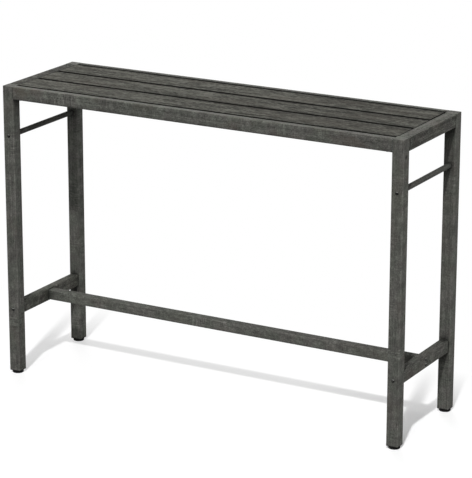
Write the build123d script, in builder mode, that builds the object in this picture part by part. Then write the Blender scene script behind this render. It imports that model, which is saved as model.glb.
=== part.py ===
# Outdoor bar table: four tube legs, a slatted top set in a tube frame, a towel bar and a low
# rail at each end, a foot rail between the low rails, and a screw-in levelling foot under each leg.
# Millimetres, +Z up, origin on the floor under the middle of the top, +X along the length.
import os

from build123d import *

# Overall
length = 1460.0
depth = 420.0
height = 1000.0

# Tubes
leg_side = 40.0
apron_width = 25.0
apron_height = 43.0
lower_rail_width = 28.0
lower_rail_height = 43.0
foot_rail_side = 34.0
side_bar_diameter = 18.0
tube_wall = 1.5
edge_radius = 3.0
least_inner_radius = 0.2

# Heights of the cross members' centre lines
side_bar_level = 832.0
lower_rail_level = 228.5

# Slatted top
slat_count = 3
slat_thickness = 15.0
slat_gap = 15.0
slat_edge_gap = 10.0
slat_end_gap = 0.4
slat_edge_round = 1.0
back_slat_short = 3.4

# Bearers under the slats
bearer_count = 4
bearer_width = 30.0
bearer_height = 20.0
bearer_wall = 2.0
bearer_end_plate = 2.5
bearer_inset = 90.0
bearer_round = 1.5

# Seam between an apron's end and the leg, and the stubs on the legs that the aprons slide over
apron_seam = 0.4
stub_length = 45.0
stub_wall = 2.5
stub_screw_inset = 22.0

# Plugs in the tube ends
insert_fit = 0.2
end_plug_length = 22.0
cap_head = 3.0
cap_round = 1.2
cap_skirt_depth = 10.0
cap_skirt_wall = 1.8

# Levelling feet
pad_diameter = 38.0
pad_height = 9.0
pad_lower_chamfer = 1.2
pad_upper_chamfer = 1.0
pad_gap = 0.4
pad_floor = 2.5
plug_flange = 2.0
plug_depth = 24.0
plug_web = 4.0
plug_wall = 2.0
plug_boss_wall = 3.0
stud_diameter = 8.0
stud_head_diameter = 16.0
stud_head_height = 3.5
stud_engagement = 14.0
stud_chamfer = 1.0
stud_clearance = 0.4
nut_across_flats = 13.0
nut_height = 6.5
running_clearance = 0.05
moulded_fit = 0.05

# Button-head bolts
bolt_diameter = 6.0
bolt_head_diameter = 10.5
bolt_head_height = 3.3
bolt_head_rim = 0.5
bolt_head_flat = 6.0
bolt_head_dome = 5.6
bolt_socket_flats = 4.0
bolt_socket_depth = 1.8
bolt_grip = 15.0
bolt_hole_clearance = 0.3
thread_fit = 0.05
foot_bolt_spacing = 18.0

# Pan-head screws
frame_screw_diameter = 4.8
frame_screw_head = 9.0
frame_screw_head_height = 2.8
frame_screw_length = 13.0
slat_screw_diameter = 3.5
slat_screw_head = 7.0
slat_screw_head_height = 2.4
slat_screw_bite = 10.0
slat_screw_spacing = 60.0
slat_screw_tip_gap = 1.0

# Worked out from the sizes above
inner_radius = max(edge_radius - tube_wall, least_inner_radius)
leg_bottom = pad_height + pad_gap + plug_flange
leg_x = (length - leg_side) / 2
leg_y = (depth - leg_side) / 2
inner_length = length - 2 * leg_side
leg_span_y = depth - 2 * leg_side
apron_y = (depth - apron_width) / 2
apron_level = height - apron_height / 2
apron_bottom = height - apron_height
inner_depth = depth - 2 * apron_width
slat_zone = inner_depth - 2 * slat_edge_gap
slat_width = (slat_zone - (slat_count - 1) * slat_gap) / slat_count
slat_pitch = slat_width + slat_gap
slat_length = inner_length - 2 * slat_end_gap
slat_bottom = height - slat_thickness
bearer_span = inner_length - 2 * bearer_inset
bearer_level = slat_bottom - bearer_height / 2
bearer_places = [(i / (bearer_count - 1) - 0.5) * bearer_span for i in range(bearer_count)]
foot_rail_length = 2 * leg_x - lower_rail_width
bolt_hole = bolt_diameter + 2 * bolt_hole_clearance
bolt_thread_hole = bolt_diameter + 2 * thread_fit
frame_screw_hole = frame_screw_diameter + 2 * thread_fit
slat_screw_hole = slat_screw_diameter + 2 * thread_fit
nut_bottom = leg_bottom + plug_web
nut_top = nut_bottom + nut_height
stud_top = nut_top + stud_engagement

sides_x = {"left": -1, "right": 1}
sides_y = {"front": -1, "back": 1}
corners = {f"{b}_{a}": (sides_x[a], sides_y[b]) for b in sides_y for a in sides_x}
pieces = {}


def tube_outline(width, tall):
    """Hollow tube section with rounded edges, drawn in the open sketch."""
    RectangleRounded(width, tall, edge_radius)
    RectangleRounded(width - 2 * tube_wall, tall - 2 * tube_wall, inner_radius, mode=Mode.SUBTRACT)


def insert_outline(width, tall):
    """Outline of what slides into a tube of this outer size."""
    less = 2 * (tube_wall + insert_fit)
    RectangleRounded(width - less, tall - less, inner_radius + insert_fit)


def drill(diameter, deep, places):
    """Holes in the open part, each from its place inwards."""
    with Locations(*places):
        Hole(diameter / 2, depth=deep)


def button_bolt(shank_length):
    """Bolt with its domed head on +Z and its shank along -Z, seated at the origin."""
    rim_top = (bolt_head_diameter / 2, bolt_head_rim)
    dome_top = (bolt_head_flat / 2, bolt_head_height)
    with BuildPart() as bolt:
        with BuildSketch(Plane.XZ):
            with BuildLine():
                Polyline((0, bolt_head_height), (0, 0), (bolt_head_diameter / 2, 0), rim_top)
                RadiusArc(rim_top, dome_top, -bolt_head_dome)
                Line(dome_top, (0, bolt_head_height))
            make_face()
        revolve(axis=Axis.Z)
        with BuildSketch(Plane.XY.offset(bolt_head_height)):
            RegularPolygon(bolt_socket_flats / 2, 6, major_radius=False)
        extrude(amount=-bolt_socket_depth, mode=Mode.SUBTRACT)
        Cylinder(bolt_diameter / 2, shank_length, align=(Align.CENTER, Align.CENTER, Align.MAX))
    return bolt.part


def pan_screw(diameter, head_diameter, head_height, shank_length):
    """Screw with its head on +Z and its shank along -Z, seated at the origin."""
    with BuildPart() as screw:
        Cylinder(head_diameter / 2, head_height, align=(Align.CENTER, Align.CENTER, Align.MIN))
        chamfer(screw.edges().group_by(Axis.Z)[-1], head_height / 3)
        Cylinder(diameter / 2, shank_length, align=(Align.CENTER, Align.CENTER, Align.MAX))
    return screw.part


def group(part, places):
    """The same piece at each place, as separate solids."""
    with BuildPart() as together:
        with Locations(*places):
            add(part)
    return together.part


# Places of the fasteners, each a plane whose normal points out of the head
side_bar_bolt_places = []
lower_rail_bolt_places = []
for sx, sy in corners.values():
    bar_seat = (sx * leg_x, sy * depth / 2, side_bar_level)
    rail_seat = (sx * leg_x, sy * depth / 2, lower_rail_level)
    side_bar_bolt_places.append(Plane(origin=bar_seat, z_dir=(0, sy, 0)))
    lower_rail_bolt_places.append(Plane(origin=rail_seat, z_dir=(0, sy, 0)))

foot_bolt_places = []
for sx in sides_x.values():
    for up in (-1, 1):
        bolt_seat = (sx * (leg_x + lower_rail_width / 2), 0, lower_rail_level + up * foot_bolt_spacing / 2)
        foot_bolt_places.append(Plane(origin=bolt_seat, z_dir=(sx, 0, 0)))

long_apron_screw_places = []
end_apron_screw_places = []
for sx, sy in corners.values():
    along_x = (sx * (inner_length / 2 - stub_screw_inset), sy * apron_y, apron_bottom)
    along_y = (sx * leg_x, sy * (leg_span_y / 2 - stub_screw_inset), apron_bottom)
    long_apron_screw_places.append(Plane(origin=along_x, z_dir=(0, 0, -1)))
    end_apron_screw_places.append(Plane(origin=along_y, z_dir=(0, 0, -1)))

slat_middles = [(i - (slat_count - 1) / 2) * slat_pitch for i in range(slat_count)]
slat_screw_rows = [y + s * slat_screw_spacing / 2 for y in slat_middles for s in (-1, 1)]


def bearer_screw_places(x):
    """Seats of the two screws that hold a bearer, inside its end plates."""
    reach = inner_depth / 2 - bearer_end_plate
    return [Plane(origin=(x, sy * reach, bearer_level), z_dir=(0, -sy, 0)) for sy in sides_y.values()]


def slat_screw_places(x):
    """Seats of the screws that rise through a bearer into the slats."""
    seat = slat_bottom - bearer_wall
    return [Plane(origin=(x, y, seat), z_dir=(0, 0, -1)) for y in slat_screw_rows]


# Legs: square tubes from the foot plug to the underside of the cap
for corner, (sx, sy) in corners.items():
    with BuildPart() as leg:
        with BuildSketch(Plane.XY.offset(leg_bottom)):
            with Locations((sx * leg_x, sy * leg_y)):
                tube_outline(leg_side, leg_side)
        extrude(amount=height - cap_head - leg_bottom)
        leg_holes = [p for p in side_bar_bolt_places + lower_rail_bolt_places
                     if p.origin.X * sx > 0 and p.origin.Y * sy > 0]
        drill(bolt_hole, leg_side, leg_holes)
    pieces[f"leg_{corner}"] = leg.part

# Leg caps: a head that closes the top of the leg, and a skirt inside the tube
for corner, (sx, sy) in corners.items():
    with BuildPart() as leg_cap:
        with BuildSketch(Plane.XY.offset(height - cap_head)):
            with Locations((sx * leg_x, sy * leg_y)):
                RectangleRounded(leg_side, leg_side, edge_radius)
        extrude(amount=cap_head)
        fillet(leg_cap.edges().group_by(Axis.Z)[-1], cap_round)
        with BuildSketch(Plane.XY.offset(height - cap_head)):
            with Locations((sx * leg_x, sy * leg_y)):
                insert_outline(leg_side, leg_side)
                skirt_bore = leg_side - 2 * (tube_wall + insert_fit + cap_skirt_wall)
                Rectangle(skirt_bore, skirt_bore, mode=Mode.SUBTRACT)
        extrude(amount=-cap_skirt_depth)
    pieces[f"leg_cap_{corner}"] = leg_cap.part

# Foot plugs: a flange under the leg, a hollow skirt in the tube, and a boss that holds the nut
for corner, (sx, sy) in corners.items():
    with BuildPart() as foot_plug:
        with BuildSketch(Plane.XY.offset(leg_bottom)):
            with Locations((sx * leg_x, sy * leg_y)):
                RectangleRounded(leg_side, leg_side, edge_radius)
        extrude(amount=-plug_flange)
        with BuildSketch(Plane.XY.offset(leg_bottom)):
            with Locations((sx * leg_x, sy * leg_y)):
                insert_outline(leg_side, leg_side)
        extrude(amount=plug_depth)
        with BuildSketch(Plane.XY.offset(leg_bottom + plug_web)):
            with Locations((sx * leg_x, sy * leg_y)):
                plug_bore = leg_side - 2 * (tube_wall + insert_fit + plug_wall)
                Rectangle(plug_bore, plug_bore)
                boss_flats = nut_across_flats + 2 * (insert_fit + plug_boss_wall)
                RegularPolygon(boss_flats / 2, 6, major_radius=False, mode=Mode.SUBTRACT)
        extrude(amount=plug_depth - plug_web, mode=Mode.SUBTRACT)
        with BuildSketch(Plane.XY.offset(nut_top)):
            with Locations((sx * leg_x, sy * leg_y)):
                RegularPolygon(boss_flats / 2, 6, major_radius=False)
        extrude(amount=leg_bottom + plug_depth - nut_top, mode=Mode.SUBTRACT)
        with BuildSketch(Plane.XY.offset(nut_bottom)):
            with Locations((sx * leg_x, sy * leg_y)):
                RegularPolygon(nut_across_flats / 2 + insert_fit, 6, major_radius=False)
        extrude(amount=nut_height, mode=Mode.SUBTRACT)
        stud_way = Plane(origin=(sx * leg_x, sy * leg_y, nut_bottom))
        drill(stud_diameter + 2 * stud_clearance, plug_web + plug_flange, [stud_way])
    pieces[f"foot_plug_{corner}"] = foot_plug.part

# Foot nuts: hexagon nuts pressed into the plugs
with BuildPart() as foot_nut:
    with BuildSketch():
        RegularPolygon(nut_across_flats / 2, 6, major_radius=False)
        Circle(stud_diameter / 2 + running_clearance, mode=Mode.SUBTRACT)
    extrude(amount=nut_height)
nut_places = [Location((sx * leg_x, sy * leg_y, nut_bottom)) for sx, sy in corners.values()]
pieces["foot_nuts"] = group(foot_nut.part, nut_places)

# Foot studs: a threaded rod with a flat head that is moulded into the pad
for corner, (sx, sy) in corners.items():
    with BuildPart() as foot_stud:
        with Locations((sx * leg_x, sy * leg_y, pad_floor)):
            Cylinder(stud_head_diameter / 2, stud_head_height, align=(Align.CENTER, Align.CENTER, Align.MIN))
            Cylinder(stud_diameter / 2, stud_top - pad_floor, align=(Align.CENTER, Align.CENTER, Align.MIN))
        chamfer(foot_stud.edges().group_by(Axis.Z)[-1], stud_chamfer)
    pieces[f"foot_stud_{corner}"] = foot_stud.part

# Foot pads: round glides with eased edges, moulded round the stud's head
for corner, (sx, sy) in corners.items():
    with BuildPart() as foot_pad:
        with Locations((sx * leg_x, sy * leg_y, 0)):
            Cylinder(pad_diameter / 2, pad_height, align=(Align.CENTER, Align.CENTER, Align.MIN))
        chamfer(foot_pad.edges().group_by(Axis.Z)[0], pad_lower_chamfer)
        chamfer(foot_pad.edges().group_by(Axis.Z)[-1], pad_upper_chamfer)
        pocket_height = stud_head_height + 2 * moulded_fit
        with Locations((sx * leg_x, sy * leg_y, pad_floor - moulded_fit)):
            Cylinder(stud_head_diameter / 2 + moulded_fit, pocket_height,
                     align=(Align.CENTER, Align.CENTER, Align.MIN), mode=Mode.SUBTRACT)
            Cylinder(stud_diameter / 2 + moulded_fit, pad_height,
                     align=(Align.CENTER, Align.CENTER, Align.MIN), mode=Mode.SUBTRACT)
    pieces[f"foot_pad_{corner}"] = foot_pad.part

# Long aprons: tubes between the legs, drilled below for the stub screws and inside for the bearers
for side, sy in sides_y.items():
    with BuildPart() as long_apron:
        with BuildSketch(Plane.YZ.offset(apron_seam - inner_length / 2)):
            with Locations((sy * apron_y, apron_level)):
                tube_outline(apron_width, apron_height)
        extrude(amount=inner_length - 2 * apron_seam)
        drill(frame_screw_hole, 2 * tube_wall, [p for p in long_apron_screw_places if p.origin.Y * sy > 0])
        bearer_holes = []
        for x in bearer_places:
            bearer_holes.append(Plane(origin=(x, sy * inner_depth / 2, bearer_level), z_dir=(0, -sy, 0)))
        drill(frame_screw_hole, 2 * tube_wall, bearer_holes)
    pieces[f"apron_{side}"] = long_apron.part

# End aprons: wider tubes, as wide as the legs that they stand between
for side, sx in sides_x.items():
    with BuildPart() as end_apron:
        with BuildSketch(Plane.XZ.offset(apron_seam - leg_span_y / 2)):
            with Locations((sx * leg_x, apron_level)):
                tube_outline(leg_side, apron_height)
        extrude(amount=leg_span_y - 2 * apron_seam)
        drill(frame_screw_hole, 2 * tube_wall, [p for p in end_apron_screw_places if p.origin.X * sx > 0])
    pieces[f"apron_{side}"] = end_apron.part

# Apron stubs: short tubes welded to the legs, which the aprons slide over
with BuildPart() as long_apron_stubs:
    for sx in sides_x.values():
        with BuildSketch(Plane.YZ.offset(sx * inner_length / 2)):
            with Locations((apron_y, apron_level), (-apron_y, apron_level)):
                insert_outline(apron_width, apron_height)
                stub_less = 2 * (tube_wall + insert_fit + stub_wall)
                Rectangle(apron_width - stub_less, apron_height - stub_less, mode=Mode.SUBTRACT)
        extrude(amount=-sx * stub_length)
    drill(frame_screw_hole, tube_wall + insert_fit + 2 * stub_wall, long_apron_screw_places)
pieces["long_apron_stubs"] = long_apron_stubs.part

with BuildPart() as end_apron_stubs:
    for sy in sides_y.values():
        with BuildSketch(Plane.XZ.offset(-sy * leg_span_y / 2)):
            with Locations((leg_x, apron_level), (-leg_x, apron_level)):
                insert_outline(leg_side, apron_height)
                Rectangle(leg_side - stub_less, apron_height - stub_less, mode=Mode.SUBTRACT)
        extrude(amount=sy * stub_length)
    drill(frame_screw_hole, tube_wall + insert_fit + 2 * stub_wall, end_apron_screw_places)
pieces["end_apron_stubs"] = end_apron_stubs.part

# Apron screws: driven up through the aprons into the stubs
frame_screw = pan_screw(frame_screw_diameter, frame_screw_head, frame_screw_head_height, frame_screw_length)
pieces["apron_screws"] = group(frame_screw, long_apron_screw_places + end_apron_screw_places)

# Slats: planks with eased edges; the back one is cut a little short at its right end
slat_names = ["slat_front", "slat_middle", "slat_back"]
for slat_name, y in zip(slat_names, slat_middles):
    short = back_slat_short if slat_name == "slat_back" else 0
    with BuildPart() as slat:
        with BuildSketch(Plane.YZ.offset(-slat_length / 2)):
            with Locations((y, height - slat_thickness / 2)):
                RectangleRounded(slat_width, slat_thickness, slat_edge_round)
        extrude(amount=slat_length - short)
        slat_holes = []
        for x in bearer_places:
            for s in (-1, 1):
                slat_holes.append(Plane(origin=(x, y + s * slat_screw_spacing / 2, slat_bottom), z_dir=(0, 0, -1)))
        drill(slat_screw_hole, slat_screw_bite + slat_screw_tip_gap, slat_holes)
    pieces[slat_name] = slat.part

# Bearers: channels open below, with end plates screwed to the long aprons
bearer_names = ["bearer_far_left", "bearer_left", "bearer_right", "bearer_far_right"]
for bearer_name, x in zip(bearer_names, bearer_places):
    with BuildPart() as bearer:
        with BuildSketch(Plane.XY.offset(slat_bottom)):
            with Locations((x, 0)):
                Rectangle(bearer_width, inner_depth)
        extrude(amount=-bearer_height)
        fillet(bearer.edges().filter_by(Axis.Y).group_by(Axis.Z)[-1], bearer_round)
        with BuildSketch(Plane.XY.offset(slat_bottom - bearer_height)):
            with Locations((x, 0)):
                Rectangle(bearer_width - 2 * bearer_wall, inner_depth - 2 * bearer_end_plate)
        extrude(amount=bearer_height - bearer_wall, mode=Mode.SUBTRACT)
        drill(slat_screw_hole, 2 * bearer_wall, slat_screw_places(x))
        drill(frame_screw_hole, 2 * bearer_end_plate, bearer_screw_places(x))
    pieces[bearer_name] = bearer.part

# Bearer screws and slat screws
pieces["bearer_screws"] = group(frame_screw, [p for x in bearer_places for p in bearer_screw_places(x)])
slat_screw = pan_screw(
    slat_screw_diameter, slat_screw_head, slat_screw_head_height, bearer_wall + slat_screw_bite)
pieces["slat_screws"] = group(slat_screw, [p for x in bearer_places for p in slat_screw_places(x)])

# Side bars: round tubes between the front and back legs
for side, sx in sides_x.items():
    with BuildPart() as side_bar:
        with BuildSketch(Plane.XZ.offset(-leg_span_y / 2)):
            with Locations((sx * leg_x, side_bar_level)):
                Circle(side_bar_diameter / 2)
                Circle(side_bar_diameter / 2 - tube_wall, mode=Mode.SUBTRACT)
        extrude(amount=leg_span_y)
    pieces[f"side_bar_{side}"] = side_bar.part

# Side bar plugs: threaded inserts in the bar ends
with BuildPart() as side_bar_plugs:
    for sy in sides_y.values():
        with BuildSketch(Plane.XZ.offset(-sy * leg_span_y / 2)):
            with Locations((leg_x, side_bar_level), (-leg_x, side_bar_level)):
                Circle(side_bar_diameter / 2 - tube_wall - insert_fit)
                Circle(bolt_thread_hole / 2, mode=Mode.SUBTRACT)
        extrude(amount=sy * end_plug_length)
pieces["side_bar_plugs"] = side_bar_plugs.part

# Side bar bolts: through the legs into the bar ends
pieces["side_bar_bolts"] = group(button_bolt(leg_side + bolt_grip), side_bar_bolt_places)

# Lower rails: tubes between the front and back legs, drilled for the foot rail bolts
for side, sx in sides_x.items():
    with BuildPart() as lower_rail:
        with BuildSketch(Plane.XZ.offset(-leg_span_y / 2)):
            with Locations((sx * leg_x, lower_rail_level)):
                tube_outline(lower_rail_width, lower_rail_height)
        extrude(amount=leg_span_y)
        drill(bolt_hole, lower_rail_width, [p for p in foot_bolt_places if p.origin.X * sx > 0])
    pieces[f"lower_rail_{side}"] = lower_rail.part

# Lower rail plugs: threaded inserts in the rail ends
with BuildPart() as lower_rail_plugs:
    for sy in sides_y.values():
        with BuildSketch(Plane.XZ.offset(-sy * leg_span_y / 2)):
            with Locations((leg_x, lower_rail_level), (-leg_x, lower_rail_level)):
                insert_outline(lower_rail_width, lower_rail_height)
                Circle(bolt_thread_hole / 2, mode=Mode.SUBTRACT)
        extrude(amount=sy * end_plug_length)
pieces["lower_rail_plugs"] = lower_rail_plugs.part

# Lower rail bolts: through the legs into the rail ends
pieces["lower_rail_bolts"] = group(button_bolt(leg_side + bolt_grip), lower_rail_bolt_places)

# Foot rail: a square tube along the middle, between the lower rails
with BuildPart() as foot_rail:
    with BuildSketch(Plane.YZ.offset(-foot_rail_length / 2)):
        with Locations((0, lower_rail_level)):
            tube_outline(foot_rail_side, foot_rail_side)
    extrude(amount=foot_rail_length)
pieces["foot_rail"] = foot_rail.part

# Foot rail plugs: inserts with two threads, one above the other
with BuildPart() as foot_rail_plugs:
    for sx in sides_x.values():
        with BuildSketch(Plane.YZ.offset(sx * foot_rail_length / 2)):
            with Locations((0, lower_rail_level)):
                insert_outline(foot_rail_side, foot_rail_side)
            with Locations((0, lower_rail_level)):
                with GridLocations(0, foot_bolt_spacing, 1, 2):
                    Circle(bolt_thread_hole / 2, mode=Mode.SUBTRACT)
        extrude(amount=-sx * end_plug_length)
pieces["foot_rail_plugs"] = foot_rail_plugs.part

# Foot rail bolts: two at each end, through the lower rails
pieces["foot_rail_bolts"] = group(button_bolt(lower_rail_width + bolt_grip), foot_bolt_places)

# One file for each piece
os.makedirs("parts", exist_ok=True)
for piece_name, piece in pieces.items():
    piece.label = piece_name
    export_step(piece, f"parts/{piece_name}.step")
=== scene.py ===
# Looks of an outdoor bar table: grey wood-grain coated tubes, grained slats, black feet and bolts.
# Metres, +Z up, origin on the floor under the middle of the top, +X along the length.
import math
from typing import NamedTuple

import bpy
from mathutils import Matrix, Vector


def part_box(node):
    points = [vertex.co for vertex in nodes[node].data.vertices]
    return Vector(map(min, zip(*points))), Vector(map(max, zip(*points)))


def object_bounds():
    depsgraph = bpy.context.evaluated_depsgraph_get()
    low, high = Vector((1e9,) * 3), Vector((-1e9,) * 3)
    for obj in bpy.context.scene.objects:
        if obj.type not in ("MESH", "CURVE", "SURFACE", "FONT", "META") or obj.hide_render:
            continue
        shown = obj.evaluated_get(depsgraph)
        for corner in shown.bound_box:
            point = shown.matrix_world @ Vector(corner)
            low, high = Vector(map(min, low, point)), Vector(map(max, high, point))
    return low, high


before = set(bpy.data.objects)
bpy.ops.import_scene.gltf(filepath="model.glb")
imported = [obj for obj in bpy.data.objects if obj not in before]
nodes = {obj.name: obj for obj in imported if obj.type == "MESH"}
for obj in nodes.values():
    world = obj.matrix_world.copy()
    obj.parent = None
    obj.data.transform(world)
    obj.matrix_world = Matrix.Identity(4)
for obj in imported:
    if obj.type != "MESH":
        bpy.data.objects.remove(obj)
cad_low, cad_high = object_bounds()


class Layer(NamedTuple):
    """A layer of noise: features per metre along and across the grain, weight in a tone, repeat length."""
    along: float
    across: float
    weight: float = 1.0
    detail: float = 2.0
    roughness: float = 0.5
    distortion: float = 0.0
    repeat: float = 0.0


# The table's corners, as the names of the nodes say them
CORNERS = ("front_left", "front_right", "back_left", "back_right")

# Camera, at the photograph's viewing angle: turns in radians, lens in pixels, sensor in millimetres
CAMERA_PLACE = (3.7272, -6.5858, 2.8031)
CAMERA_YAW = 0.51113
CAMERA_PITCH = 0.29213
CAMERA_ROLL = 0.00194
CAMERA_FAR_LIMIT = 200.0
FOCAL_PIXELS = 2413.3
IMAGE_LONG_SIDE = 478
SENSOR = 36.0

# Lamps: the side that each one shines from, its strength and how wide it is
KEY_FROM = (0.225, -0.79, 1.0)
KEY_STRENGTH = 2.5
KEY_SPREAD = math.radians(2.5)
FRONT_FROM = (0.1, -1.0, 0.33)
FRONT_STRENGTH = 1.5
FRONT_SPREAD = math.radians(32)
FILL_FROM = (1.0, -0.03, 0.07)
FILL_STRENGTH = 1.77
FILL_SPREAD = math.radians(12)
BACK_FROM = (-0.75, 1.0, 0.15)
BACK_STRENGTH = 3.0
BACK_SPREAD = math.radians(30)

# Dome of soft light: its strength overhead and low down, and how far up it starts to brighten
DOME_OVERHEAD = 0.42
DOME_LOW = 0.03
DOME_RISE = 0.5

# Floor: its size, its colour to the camera and to the table, and the share of shadow it shows by X and Y
FLOOR_SIZE = 60.0
FLOOR_COLOUR = (1.0, 1.0, 1.0, 1)
FLOOR_BOUNCE = (0.08, 0.08, 0.08, 1)
FLOOR_SHADOW_LEFT = 0.52
FLOOR_SHADOW_RIGHT = 0.86
FLOOR_SHADOW_DEEPER_FROM_X = 0.2
FLOOR_SHADOW_FULL_TO_Y = 0.1
FLOOR_SHADOW_NONE_FROM_Y = 0.55

# Colours, linear: dark, middle and light of each grained coating
COAT = ((0.028, 0.0283, 0.0256, 1), (0.07, 0.0708, 0.064, 1), (0.142, 0.1436, 0.13, 1))
LONG_COAT = ((0.03, 0.0303, 0.0274, 1), (0.075, 0.0758, 0.0685, 1), (0.152, 0.1537, 0.139, 1))
RAIL_COAT = ((0.0268, 0.027, 0.0242, 1), (0.067, 0.0675, 0.0607, 1), (0.1365, 0.1376, 0.1237, 1))
# Painted shade: a darker copy of the rail coating, for the left rail
SHADED_RAIL_COAT = ((0.0175, 0.0178, 0.0155, 1), (0.0656, 0.0664, 0.0585, 1), (0.145, 0.1468, 0.1294, 1))
END_COAT = ((0.0124, 0.0125, 0.0112, 1), (0.0351, 0.0354, 0.0317, 1), (0.1235, 0.1247, 0.112, 1))
BAR_COAT = ((0.0146, 0.0147, 0.0136, 1), (0.0428, 0.0432, 0.0399, 1), (0.0973, 0.0983, 0.0905, 1))
SLAT = ((0.0155, 0.0154, 0.0129, 1), (0.0475, 0.047, 0.0397, 1), (0.109, 0.108, 0.0916, 1))

# Colours, linear: dark and light of each plain finish
BEARER = ((0.04, 0.04, 0.038, 1), (0.055, 0.055, 0.052, 1))
PLASTIC = ((0.003, 0.003, 0.003, 1), (0.006, 0.006, 0.006, 1))
BLACK_STEEL = ((0.001, 0.001, 0.001, 1), (0.003, 0.003, 0.003, 1))
ZINC = ((0.42, 0.43, 0.45, 1), (0.58, 0.59, 0.6, 1))
ALUMINIUM = ((0.5, 0.5, 0.5, 1), (0.62, 0.62, 0.62, 1))

# Colours, linear: what lies over a finish, and plain white
BROWN = (0.07, 0.06, 0.05, 1)
GREEN_TINT = (0.985, 1.01, 0.98, 1)
PINK_TINT = (1.02, 0.99, 1.0, 1)
# Dark of grime and knots, also painted shade in corners, nooks, grooves and along apron bottoms
GRIME_AND_SHADE = (0.004, 0.004, 0.0035, 1)
# Dust, also the painted highlight on the bolts' heads
DUST_AND_HIGHLIGHT = (0.13, 0.13, 0.122, 1)
WHITE = (1, 1, 1, 1)

# Roughness at the low and the high end of the tone or noise that sets it, and strength of the shine
GRAIN_ROUGH = (0.8, 0.62)
BEARER_ROUGH = (0.5, 0.65)
PLASTIC_ROUGH = (0.6, 0.75)
BLACK_STEEL_ROUGH = (0.35, 0.5)
ZINC_ROUGH = (0.25, 0.45)
ALUMINIUM_ROUGH = (0.35, 0.5)
GRAIN_SHINE = 0.08
PLAIN_SHINE = 0.06
BOLT_SHINE = 0.05

# Relief of each finish: its height and how strongly it shows
COAT_RELIEF = (0.0004, 0.6)
SLAT_RELIEF = (0.0006, 0.7)
PLAIN_RELIEF = (0.0002, 0.5)
METAL_RELIEF = (0.0001, 0.4)

# Share of a layer in the relief of a coated tube or of a slat
COAT_SPECK_RISE = 0.5
COAT_STREAK_RISE = 0.6
SLAT_FIBRE_RISE = 0.6

# Layers of the coated tubes, of which two are printed by a roller and repeat with it
PRINT_REPEAT = 0.126
COAT_LAYERS = {
    "patch": Layer(14, 16, weight=0.2, detail=3, roughness=0.55),
    "blotch": Layer(36, 22, weight=0.36, repeat=PRINT_REPEAT / 2),
    "mottle": Layer(70, 120, weight=0.52, detail=3, roughness=0.6, repeat=PRINT_REPEAT),
    "speck": Layer(180, 300, weight=0.72, roughness=0.6),
    "streak": Layer(5, 150, weight=0.35, detail=3, roughness=0.55),
    "fibre": Layer(14, 750, weight=0.35),
}
SAW_MARKS = Layer(300, 25, weight=0.7)
SAW_PATCHES = Layer(14, 14, detail=1)
COAT_BROWNING = Layer(9, 16, detail=3)
COAT_TINTING = Layer(22, 22, detail=1)

# Layers of the slats
SLAT_LAYERS = {
    "patch": Layer(4, 22, weight=0.6, detail=3, roughness=0.55),
    "wide": Layer(1.4, 48, weight=0.8, detail=3, roughness=0.6, distortion=0.3),
    "streak": Layer(3, 130, weight=1.0, detail=4, roughness=0.6, distortion=0.4),
    "mottle": Layer(18, 60, weight=1.1, detail=3, roughness=0.6),
    "speck": Layer(70, 240, weight=1.6, roughness=0.6),
    "fibre": Layer(10, 700, weight=0.4),
}
SLAT_BROWNING = Layer(3, 12, detail=3)
SLAT_BROWN_SHARE = 0.35

# Layers of the plain finishes
PLAIN_CLOUD = Layer(60, 60, detail=3)
PLAIN_PEEL = Layer(900, 900)
METAL_CLOUD = Layer(180, 180, detail=3)
METAL_MARKS = Layer(2600, 400)

# Middle of a noise and of a tone, places of the shades on a tone, and ranges over which effects set in
MIDDLE = 0.5
TONE_STOPS = (0.2, 0.5, 0.8)
TONE_RANGE = (TONE_STOPS[0], TONE_STOPS[-1])
NOISE_RANGE = (0.3, 0.7)
SAW_RANGE = (0.5, 0.66)
TINT_RANGE = (0.4, 0.6)
COAT_BROWN_RANGE = (0.5, 0.75)
SLAT_BROWN_RANGE = (0.48, 0.75)

# Painted light on upper sides and slats, lighter by so much at the table's left and right ends, darker
# below none
LEG_PAINTED_LIGHT = (0.15, 0.15)
LONG_PAINTED_LIGHT = (0.24, 0.125)
END_PAINTED_LIGHT = (0.065, 0.165)
RAIL_PAINTED_LIGHT = (0.02, -0.085)
SLAT_PAINTED_LIGHT = (0.06, -0.04)

# Upper sides: how far a face turns up, none to full, for painted light or bolts' painted highlight, and its
# peak
PAINTED_LIGHT_UP_RANGE = (0.5, 0.95)
HIGHLIGHT_UP_RANGE = (0.3, 0.7)
TOP_HIGHLIGHT = 0.95

# Painted shade in close corners and wide nooks: reach, openness from none to full, cover, and the nooks'
# heights
CORNER_REACH = 0.02
CORNER_OPEN_RANGE = (0.88, 0.45)
CORNER_SHADE = 0.85
NOOK_REACH = 0.1
NOOK_OPEN_RANGE = (0.97, 0.5)
NOOK_SHADE = 0.85
NOOK_HEIGHT_RANGE = (0.05, 0.15)

# Painted shade in the groove beside the slats: the aprons' walls, how far it laps over them, its fade and
# its cover
APRON_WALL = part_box("apron_back")[0].y
END_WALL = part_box("apron_right")[0].x
GROOVE_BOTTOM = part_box("slat_front")[0].z
GROOVE_LAP_FULL = 0.003
GROOVE_LAP_NONE = 0.005
GROOVE_FADE = 0.004
LONG_GROOVE_SHADE = 0.95
END_GROOVE_SHADE = 0.6

# Darkening along the bottom of the long aprons, and grime at the seam between an end apron and its back leg
APRON_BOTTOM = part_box("apron_front")[0].z
BOTTOM_REACH = 0.015
BOTTOM_DARKENING = 0.35
SEAM_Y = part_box("lower_rail_left")[1].y
SEAM_REACH = 0.0045
SEAM_FADE = 0.001

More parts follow.
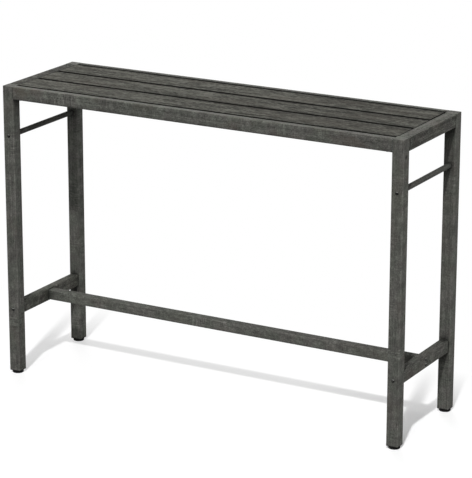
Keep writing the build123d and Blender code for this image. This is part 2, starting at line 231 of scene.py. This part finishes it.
# Painted shade on the slats' sides, by how far a face turns up or down, and along their back edges
SIDE_UP_RANGE = (0.85, 0.99)
SIDE_SHADE = 0.95
SLAT_EDGES = [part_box(f"slat_{place}")[1].y for place in ("front", "middle", "back")]
EDGE_REACH = 0.006
EDGE_SHADE = 0.9

# Knots on the table's right side: the middle of each, their size and how dark they are
LEG_KNOT = (cad_high.x, -0.193, 0.943)
APRON_KNOT = (cad_high.x, -0.1685, 0.982)
KNOT_HEART = 0.003
KNOT_REACH = 0.0095
KNOT_GRIME = 0.85


class Graph:
    """The nodes of one material or of the world, built by short calls."""

    # Where a mix node keeps its sockets for colours
    MIX_SHARE = 0
    MIX_FIRST = 6
    MIX_SECOND = 7
    MIX_RESULT = 2

    def __init__(self, owner, shader="Principled BSDF"):
        owner.use_nodes = True
        self.owner = owner
        self.tree = owner.node_tree
        self.shader = self.tree.nodes[shader]

    def feed(self, socket, value):
        """Link another node's output to the socket, or set the socket to a constant."""
        if isinstance(value, bpy.types.NodeSocket):
            self.tree.links.new(value, socket)
        else:
            socket.default_value = value

    def node(self, kind, inputs=None, **settings):
        made = self.tree.nodes.new(kind)
        for key, value in settings.items():
            setattr(made, key, value)
        for key, value in (inputs or {}).items():
            self.feed(made.inputs[key], value)
        return made

    def set(self, **sockets):
        """Feed the shader's own sockets, with an underscore for each space in a socket's name."""
        for name, value in sockets.items():
            self.feed(self.shader.inputs[name.replace("_", " ")], value)

    def bump(self, height, distance, strength):
        made = self.node("ShaderNodeBump", {"Height": height, "Distance": distance, "Strength": strength})
        self.set(Normal=made.outputs["Normal"])

    def place(self):
        return self.node("ShaderNodeTexCoord").outputs["Object"]

    def normal(self):
        return self.node("ShaderNodeNewGeometry").outputs["Normal"]

    def seen(self):
        """One for rays from the camera or off a shiny face, none for the rest."""
        ray = self.node("ShaderNodeLightPath").outputs
        return self.most(ray["Is Camera Ray"], ray["Is Glossy Ray"])

    def corner(self, reach):
        """One in the open, one half where two faces meet at a corner, looked for within the reach."""
        return self.node("ShaderNodeAmbientOcclusion", {"Distance": reach}, samples=8).outputs["AO"]

    def split(self, vector):
        return self.node("ShaderNodeSeparateXYZ", {0: vector}).outputs

    def math(self, operation, *values):
        return self.node("ShaderNodeMath", dict(enumerate(values)), operation=operation).outputs[0]

    def most(self, value, *others):
        """The largest of the values."""
        for other in others:
            value = self.math("MAXIMUM", value, other)
        return value

    def spread(self, value, low, high, to_low=0.0, to_high=1.0):
        settings = {"Value": value, "From Min": low, "From Max": high, "To Min": to_low, "To Max": to_high}
        return self.node("ShaderNodeMapRange", settings).outputs["Result"]

    def left_to_right(self, place, left, right):
        """A value that changes evenly from the table's left end to its right end."""
        return self.spread(self.split(place)["X"], cad_low.x, cad_high.x, left, right)

    def near(self, value, centre, reach, peak):
        """The peak at the centre, none at the reach."""
        miss = self.math("ABSOLUTE", self.math("SUBTRACT", value, centre))
        return self.spread(miss, 0.0, reach, peak, 0.0)

    def distance(self, place, middle):
        made = self.node("ShaderNodeVectorMath", {0: place, 1: middle}, operation="DISTANCE")
        return made.outputs["Value"]

    def noise(self, place, layer, axis="X"):
        """The noise of a layer, with the grain along the axis."""
        point = self.wound(place, layer, axis) if layer.repeat else self.stretched(place, layer, axis)
        settings = {"Scale": 1.0, "Detail": layer.detail, "Roughness": layer.roughness,
                    "Distortion": layer.distortion, **point}
        dimensions = "4D" if layer.repeat else "3D"
        return self.node("ShaderNodeTexNoise", settings, noise_dimensions=dimensions).outputs["Fac"]

    def stretched(self, place, layer, axis):
        """A place in noise that never repeats."""
        per_metre = [layer.along if other == axis else layer.across for other in "XYZ"]
        made = self.node("ShaderNodeVectorMath", {0: place, 1: per_metre}, operation="MULTIPLY")
        return {"Vector": made.outputs[0]}

    def wound(self, place, layer, axis):
        """A place in noise that repeats along the axis, which is wound into a circle as on a roller."""
        parts = self.split(place)
        turn = self.math("MULTIPLY", parts[axis], math.tau / layer.repeat)
        radius = layer.repeat / math.tau * layer.along
        cosine = self.math("MULTIPLY", self.math("COSINE", turn), radius)
        sine = self.math("MULTIPLY", self.math("SINE", turn), radius)
        others = [part for part in "XYZ" if part != axis]
        first, second = [self.math("MULTIPLY", parts[other], layer.across) for other in others]
        made = self.node("ShaderNodeCombineXYZ", {"X": cosine, "Y": sine, "Z": first})
        return {"Vector": made.outputs[0], "W": second}

    def weigh(self, layers, tone=MIDDLE):
        """The tone plus each layer's swing about its own middle, times its weight."""
        for value, weight in layers:
            swing = self.math("SUBTRACT", value, MIDDLE)
            tone = self.math("MULTIPLY_ADD", swing, weight, tone)
        return tone

    def ramp(self, value, positions, colours):
        made = self.node("ShaderNodeValToRGB", {"Fac": value})
        elements = made.color_ramp.elements
        while len(elements) < len(colours):
            elements.new(MIDDLE)
        for element, position, colour in zip(elements, positions, colours):
            element.position = position
            element.color = colour
        return made.outputs["Color"]

    def mix(self, share, first, second, blend="MIX"):
        inputs = {self.MIX_SHARE: share, self.MIX_FIRST: first, self.MIX_SECOND: second}
        made = self.node("ShaderNodeMix", inputs, data_type="RGBA", blend_type=blend)
        return made.outputs[self.MIX_RESULT]


def new_graph(name):
    return Graph(bpy.data.materials.new(name))


def grain(g, place, layers, axis="X", contrast=1.0):
    """The noise of each layer, by the layer's name, and the tone that they make together."""
    noises = {key: g.noise(place, layer, axis) for key, layer in layers.items()}
    tone = g.weigh([(noises[key], layer.weight * contrast) for key, layer in layers.items()])
    return noises, tone


def grain_surface(g, colour, grime_and_shade_share, tone):
    """What the coated tubes and the slats share: grime and painted shade over the colour, and a dull shine.
    """
    g.set(Base_Color=g.mix(grime_and_shade_share, colour, GRIME_AND_SHADE))
    g.set(Roughness=g.spread(tone, *TONE_RANGE, *GRAIN_ROUGH), Specular_IOR_Level=GRAIN_SHINE)


def corner_shade(g, place):
    """Painted shade in close corners, and in wide nooks well above the floor."""
    close = g.spread(g.corner(CORNER_REACH), *CORNER_OPEN_RANGE, 0.0, CORNER_SHADE)
    nook = g.spread(g.corner(NOOK_REACH), *NOOK_OPEN_RANGE, 0.0, NOOK_SHADE)
    above = g.spread(g.split(place)["Z"], *NOOK_HEIGHT_RANGE)
    return g.most(close, g.math("MULTIPLY", nook, above))


def coat(name, axis, shades, brown, contrast=1.0, painted_light=None, marks=None):
    """Grey wood-grain coating of a tube along the axis: painted light on top, painted shade in corners and
    nooks.
    """
    g = new_graph(name)
    place = g.place()
    noises, tone = grain(g, place, COAT_LAYERS, axis, contrast)
    saw_weight = g.spread(g.noise(place, SAW_PATCHES), *SAW_RANGE, 0.0, SAW_MARKS.weight * contrast)
    tone = g.weigh([(g.noise(place, SAW_MARKS, axis), saw_weight)], tone)
    # Painted light: upper sides lighter, by so much at the left and right ends
    if painted_light:
        up = g.spread(g.split(g.normal())["Z"], *PAINTED_LIGHT_UP_RANGE)
        tone = g.math("MULTIPLY_ADD", up, g.left_to_right(place, *painted_light), tone)
    colour = g.ramp(tone, TONE_STOPS, shades)
    brown_patch = g.spread(g.noise(place, COAT_BROWNING, axis), *COAT_BROWN_RANGE, 0.0, brown)
    colour = g.mix(brown_patch, colour, BROWN)
    tint = g.ramp(g.noise(place, COAT_TINTING), TINT_RANGE, (GREEN_TINT, PINK_TINT))
    colour = g.mix(1.0, colour, tint, "MULTIPLY")
    # Painted shade in corners and nooks, with each piece's own marks and painted shade
    grime_and_shade_share = corner_shade(g, place)
    if marks:
        grime_and_shade_share = g.most(grime_and_shade_share, marks(g, place))
    grain_surface(g, colour, grime_and_shade_share, tone)
    streaks = g.math("MULTIPLY", noises["streak"], COAT_STREAK_RISE)
    g.bump(g.math("MULTIPLY_ADD", noises["speck"], COAT_SPECK_RISE, streaks), *COAT_RELIEF)
    return g.owner


def knot(g, place, middle):
    return g.spread(g.distance(place, middle), KNOT_HEART, KNOT_REACH, KNOT_GRIME, 0.0)


def leg_marks(g, place):
    """A knot near the top of a leg."""
    return knot(g, place, LEG_KNOT)


def groove(g, across, wall, height, cover):
    """Painted shade on an apron's wall beside the slats, and over its upper edge."""
    share = g.spread(across, wall + GROOVE_LAP_FULL, wall + GROOVE_LAP_NONE, cover, 0.0)
    return g.math("MULTIPLY", share, g.spread(height, GROOVE_BOTTOM - GROOVE_FADE, GROOVE_BOTTOM))


def long_apron_shade(g, place):
    """Painted shade on the long aprons beside the slats, and a little darkening along their bottom edges.
    """
    parts = g.split(place)
    across = g.math("ABSOLUTE", parts["Y"])
    inner = groove(g, across, APRON_WALL, parts["Z"], LONG_GROOVE_SHADE)
    bottom = g.spread(parts["Z"], APRON_BOTTOM, APRON_BOTTOM + BOTTOM_REACH, BOTTOM_DARKENING, 0.0)
    return g.most(inner, bottom)


def end_apron_shade_and_marks(g, place):
    """Painted shade on the end aprons beside the slats, grime at their back seams, and a knot near one's
    front.
    """
    parts = g.split(place)
    across = g.math("ABSOLUTE", parts["X"])
    inner = groove(g, across, END_WALL, parts["Z"], END_GROOVE_SHADE)
    seam = g.spread(parts["Y"], SEAM_Y - SEAM_REACH, SEAM_Y)
    seam = g.math("MULTIPLY", seam, g.spread(parts["Z"], APRON_BOTTOM - SEAM_FADE, APRON_BOTTOM))
    return g.most(inner, seam, knot(g, place, APRON_KNOT))


def slat_grain(name):
    """Grey plank with a lengthwise grain pressed into it, painted shade on its sides and along its back
    edge.
    """
    g = new_graph(name)
    place = g.place()
    noises, tone = grain(g, place, SLAT_LAYERS)
    # Painted light and shade: lighter towards the left end, darker towards the right
    tone = g.math("ADD", tone, g.left_to_right(place, *SLAT_PAINTED_LIGHT))
    colour = g.ramp(tone, TONE_STOPS, SLAT)
    brown_patch = g.spread(g.noise(place, SLAT_BROWNING), *SLAT_BROWN_RANGE, 0.0, SLAT_BROWN_SHARE)
    colour = g.mix(brown_patch, colour, BROWN)
    # Painted shade on the slats' sides and along their back edges
    turned = g.math("ABSOLUTE", g.split(g.normal())["Z"])
    side = g.spread(turned, *SIDE_UP_RANGE, SIDE_SHADE, 0.0)
    across = g.split(place)["Y"]
    edges = [g.near(across, edge, EDGE_REACH, EDGE_SHADE) for edge in SLAT_EDGES]
    grain_surface(g, colour, g.most(side, *edges), tone)
    g.bump(g.math("MULTIPLY_ADD", noises["fibre"], SLAT_FIBRE_RISE, noises["streak"]), *SLAT_RELIEF)
    return g.owner


def plain_coat(name, shades, rough):
    """Even coating with the faint unevenness of a sprayed or moulded finish."""
    g = new_graph(name)
    place = g.place()
    peel = g.noise(place, PLAIN_PEEL)
    g.set(Base_Color=g.ramp(g.noise(place, PLAIN_CLOUD), NOISE_RANGE, shades))
    g.set(Roughness=g.spread(peel, *NOISE_RANGE, *rough), Specular_IOR_Level=PLAIN_SHINE)
    g.bump(peel, *PLAIN_RELIEF)
    return g.owner


def handled_metal(g, shades, rough):
    """Fine handling marks in a metal's roughness and relief, and its cloudy colour."""
    place = g.place()
    marks = g.noise(place, METAL_MARKS, "Z")
    g.set(Roughness=g.spread(marks, *NOISE_RANGE, *rough))
    g.bump(marks, *METAL_RELIEF)
    return g.ramp(g.noise(place, METAL_CLOUD), NOISE_RANGE, shades)


def bolt_with_highlight(name, dust):
    """Blackened steel, a little dusty, with a painted highlight on the upper side of each head."""
    g = new_graph(name)
    black = handled_metal(g, BLACK_STEEL, BLACK_STEEL_ROUGH)
    # Painted highlight on the upper side of each head, over a little dust
    share = g.spread(g.split(g.normal())["Z"], *HIGHLIGHT_UP_RANGE, dust, TOP_HIGHLIGHT)
    g.set(Base_Color=g.mix(share, black, DUST_AND_HIGHLIGHT), Specular_IOR_Level=BOLT_SHINE)
    return g.owner


def metal(name, shades, rough):
    """Bare or plated metal with fine handling marks."""
    g = new_graph(name)
    g.set(Base_Color=handled_metal(g, shades, rough), Metallic=1.0)
    return g.owner


def paint(material, *names):
    """Give the named nodes one material."""
    for name in names:
        nodes[name].data.materials.clear()
        nodes[name].data.materials.append(material)


def floor_white(name):
    """White to the camera but for a share of the table's shadow, and dull to the table above it."""
    g = new_graph(name)
    parts = g.split(g.place())
    deep = g.spread(parts["X"], FLOOR_SHADOW_DEEPER_FROM_X, cad_high.x,
                    FLOOR_SHADOW_LEFT, FLOOR_SHADOW_RIGHT)
    share = g.spread(parts["Y"], FLOOR_SHADOW_FULL_TO_Y, FLOOR_SHADOW_NONE_FROM_Y, deep, 0.0)
    white = g.node("ShaderNodeEmission", {"Color": WHITE, "Strength": 1.0}).outputs[0]
    pale = g.node("ShaderNodeBsdfDiffuse", {"Color": FLOOR_COLOUR}).outputs[0]
    dull = g.node("ShaderNodeBsdfDiffuse", {"Color": FLOOR_BOUNCE}).outputs[0]
    shown = g.node("ShaderNodeMixShader", {0: share, 1: white, 2: pale}).outputs[0]
    both = g.node("ShaderNodeMixShader", {0: g.seen(), 1: dull, 2: shown}).outputs[0]
    g.tree.nodes.remove(g.shader)
    g.feed(g.tree.nodes["Material Output"].inputs["Surface"], both)
    return g.owner


def make_floor():
    """Flat pale floor under the table and far around it."""
    half = FLOOR_SIZE / 2
    mesh = bpy.data.meshes.new("floor")
    corners = [(-half, -half, 0), (half, -half, 0), (half, half, 0), (-half, half, 0)]
    mesh.from_pydata(corners, [], [(0, 1, 2, 3)])
    mesh.materials.append(floor_white("floor"))
    floor = bpy.data.objects.new("floor", mesh)
    bpy.context.scene.collection.objects.link(floor)


def make_world():
    """Soft studio dome, brighter overhead, that shows as plain white."""
    world = bpy.data.worlds.new("studio")
    bpy.context.scene.world = world
    g = Graph(world, "Background")
    up = g.split(g.node("ShaderNodeTexCoord").outputs["Generated"])["Z"]
    dome = g.spread(up, DOME_RISE, 1.0, DOME_LOW, DOME_OVERHEAD)
    g.set(Color=WHITE, Strength=g.spread(g.seen(), 0.0, 1.0, dome, 1.0))


def make_lamp(name, from_side, strength, spread, glare=True):
    """Distant lamp that shines from one side, with or without a glare off the faces that it lights."""
    data = bpy.data.lights.new(name, "SUN")
    data.energy = strength
    data.angle = spread
    lamp = bpy.data.objects.new(name, data)
    lamp.visible_glossy = glare
    lamp.rotation_mode = "QUATERNION"
    lamp.rotation_quaternion = Vector(from_side).to_track_quat("Z", "Y")
    bpy.context.scene.collection.objects.link(lamp)


def make_camera():
    """Camera at the photograph's place, turn and focal length."""
    data = bpy.data.cameras.new("camera")
    data.sensor_width = SENSOR
    data.lens = FOCAL_PIXELS / IMAGE_LONG_SIDE * SENSOR
    data.clip_end = CAMERA_FAR_LIMIT
    camera = bpy.data.objects.new("camera", data)
    turn = Matrix.Rotation(CAMERA_YAW, 4, "Z")
    tilt = Matrix.Rotation(math.pi / 2 - CAMERA_PITCH, 4, "X")
    roll = Matrix.Rotation(CAMERA_ROLL, 4, "Z")
    camera.matrix_world = Matrix.Translation(CAMERA_PLACE) @ turn @ tilt @ roll
    bpy.context.scene.collection.objects.link(camera)
    bpy.context.scene.camera = camera


paint(coat("coat_upright", "Z", COAT, brown=0.3, painted_light=LEG_PAINTED_LIGHT, marks=leg_marks),
      *(f"leg_{c}" for c in CORNERS), *(f"leg_cap_{c}" for c in CORNERS))
paint(coat("coat_long", "X", LONG_COAT, brown=0.6, contrast=1.15, painted_light=LONG_PAINTED_LIGHT, marks=long_apron_shade),
      "apron_front")
paint(coat("coat_back", "X", LONG_COAT, brown=0.6, contrast=1.15, marks=long_apron_shade), "apron_back")
paint(coat("coat_foot", "X", LONG_COAT, brown=0.25, painted_light=RAIL_PAINTED_LIGHT), "foot_rail")
paint(coat("coat_end", "Y", END_COAT, brown=0.3, contrast=1.3, painted_light=END_PAINTED_LIGHT, marks=end_apron_shade_and_marks),
      "apron_left", "apron_right")
paint(coat("coat_rail", "Y", RAIL_COAT, brown=0.25, contrast=1.3, painted_light=RAIL_PAINTED_LIGHT), "lower_rail_right")
# Shaded copy of the rail coating: painted shade on the left rail
paint(coat("coat_rail_shaded", "Y", SHADED_RAIL_COAT, brown=0.25, contrast=1.15, painted_light=RAIL_PAINTED_LIGHT),
      "lower_rail_left")
paint(coat("coat_bar", "Y", BAR_COAT, brown=0.2, contrast=0.6), "side_bar_left", "side_bar_right")
paint(slat_grain("slat_grain"), "slat_front", "slat_middle", "slat_back")
paint(plain_coat("bearer_coating", BEARER, BEARER_ROUGH),
      "bearer_far_left", "bearer_left", "bearer_right", "bearer_far_right")
paint(plain_coat("black_plastic", PLASTIC, PLASTIC_ROUGH),
      *(f"foot_plug_{c}" for c in CORNERS), *(f"foot_pad_{c}" for c in CORNERS),
      "side_bar_plugs", "lower_rail_plugs", "foot_rail_plugs")
paint(bolt_with_highlight("black_bolt", dust=0.0), "side_bar_bolts")
paint(bolt_with_highlight("dusty_bolt_highlit", dust=0.1), "lower_rail_bolts")
paint(bolt_with_highlight("dusty_end_bolt_highlit", dust=0.2), "foot_rail_bolts")
paint(metal("zinc_steel", ZINC, ZINC_ROUGH),
      "foot_nuts", *(f"foot_stud_{c}" for c in CORNERS), "apron_screws", "bearer_screws", "slat_screws")
paint(metal("bare_aluminium", ALUMINIUM, ALUMINIUM_ROUGH), "long_apron_stubs", "end_apron_stubs")

make_floor()
make_world()
make_lamp("key", KEY_FROM, KEY_STRENGTH, KEY_SPREAD)
make_lamp("front", FRONT_FROM, FRONT_STRENGTH, FRONT_SPREAD)
make_lamp("fill", FILL_FROM, FILL_STRENGTH, FILL_SPREAD)
make_lamp("back", BACK_FROM, BACK_STRENGTH, BACK_SPREAD, glare=False)
make_camera()
bpy.context.scene.view_settings.view_transform = "Standard"
